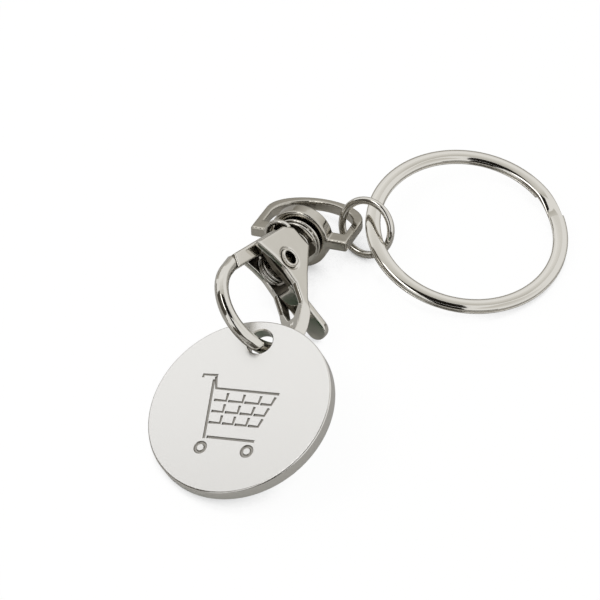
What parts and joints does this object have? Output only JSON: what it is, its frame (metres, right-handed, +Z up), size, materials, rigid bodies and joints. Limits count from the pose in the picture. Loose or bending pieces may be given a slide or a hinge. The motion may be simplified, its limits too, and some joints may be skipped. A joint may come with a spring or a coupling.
{
  "type": "trolley token keyring",
  "caption": "Round trolley token on a sprung snap hook with a swivel eye, a jump ring and a split ring for keys.",
  "frame": {"origin": "centre of the bounding box at the plane it lies on", "axes": "+X from the token to the keys' split ring, +Z up from the plane it lies on, +Y to the side of the swivel eye"},
  "size_m": [0.065, 0.0342, 0.0126],
  "materials": {
    "token_metal": "nickel-plated steel, satin faces and a bright edge",
    "enamel": "glossy green enamel",
    "hook_metal": "nickel-plated die casting, polished",
    "lever_metal": "nickel-plated die casting, polished",
    "spring_steel": "drawn spring wire",
    "rivet_metal": "nickel plate",
    "eye_metal": "nickel-plated die casting, polished",
    "jump_metal": "nickel-plated wire",
    "ring_metal": "nickel-plated spring steel, polished"
  },
  "bodies": {
    "hook": {"hook_body": "hook_metal", "pivot_rivet": "rivet_metal"},
    "trigger": {"trigger_lever": "lever_metal", "trigger_spring": "spring_steel"},
    "token": {"token_body": "token_metal", "token_enamel": "enamel"},
    "eye": {"swivel_eye": "eye_metal"},
    "jump": {"jump_ring": "jump_metal"},
    "keyring": {"split_ring": "ring_metal"}
  },
  "joints": [
    {"name": "trigger_pivot", "type": "hinge", "parent": "hook", "child": "trigger", "pos_m": [-0.00258, 0.00709, 0.00621], "axis": [0.4167, -0.5153, 0.7489], "range_deg": [0, 25], "stiffness_Nm_per_rad": 0.01},
    {"name": "token_slide", "type": "hinge", "parent": "hook", "child": "token", "pos_m": [-0.0098, 0.00362, 0.00784], "axis": [0.4167, -0.5153, 0.7489], "range_deg": [-105, 38]},
    {"name": "swivel", "type": "hinge", "parent": "hook", "child": "eye", "pos_m": [0.00354, 0.00926, 0.00431], "axis": [0.904, 0.3219, -0.2815], "continuous": true},
    {"name": "jump_swing", "type": "hinge", "parent": "eye", "child": "jump", "pos_m": [0.01086, 0.00587, 0.00351], "axis": [0.904, 0.3219, -0.2815], "range_deg": [-45, 55]},
    {"name": "keyring_swing", "type": "hinge", "parent": "jump", "child": "keyring", "pos_m": [0.01143, 0.00384, 0.00381], "axis": [0.7041, 0.7075, 0.0615], "range_deg": [-60, 60]}
  ]
}
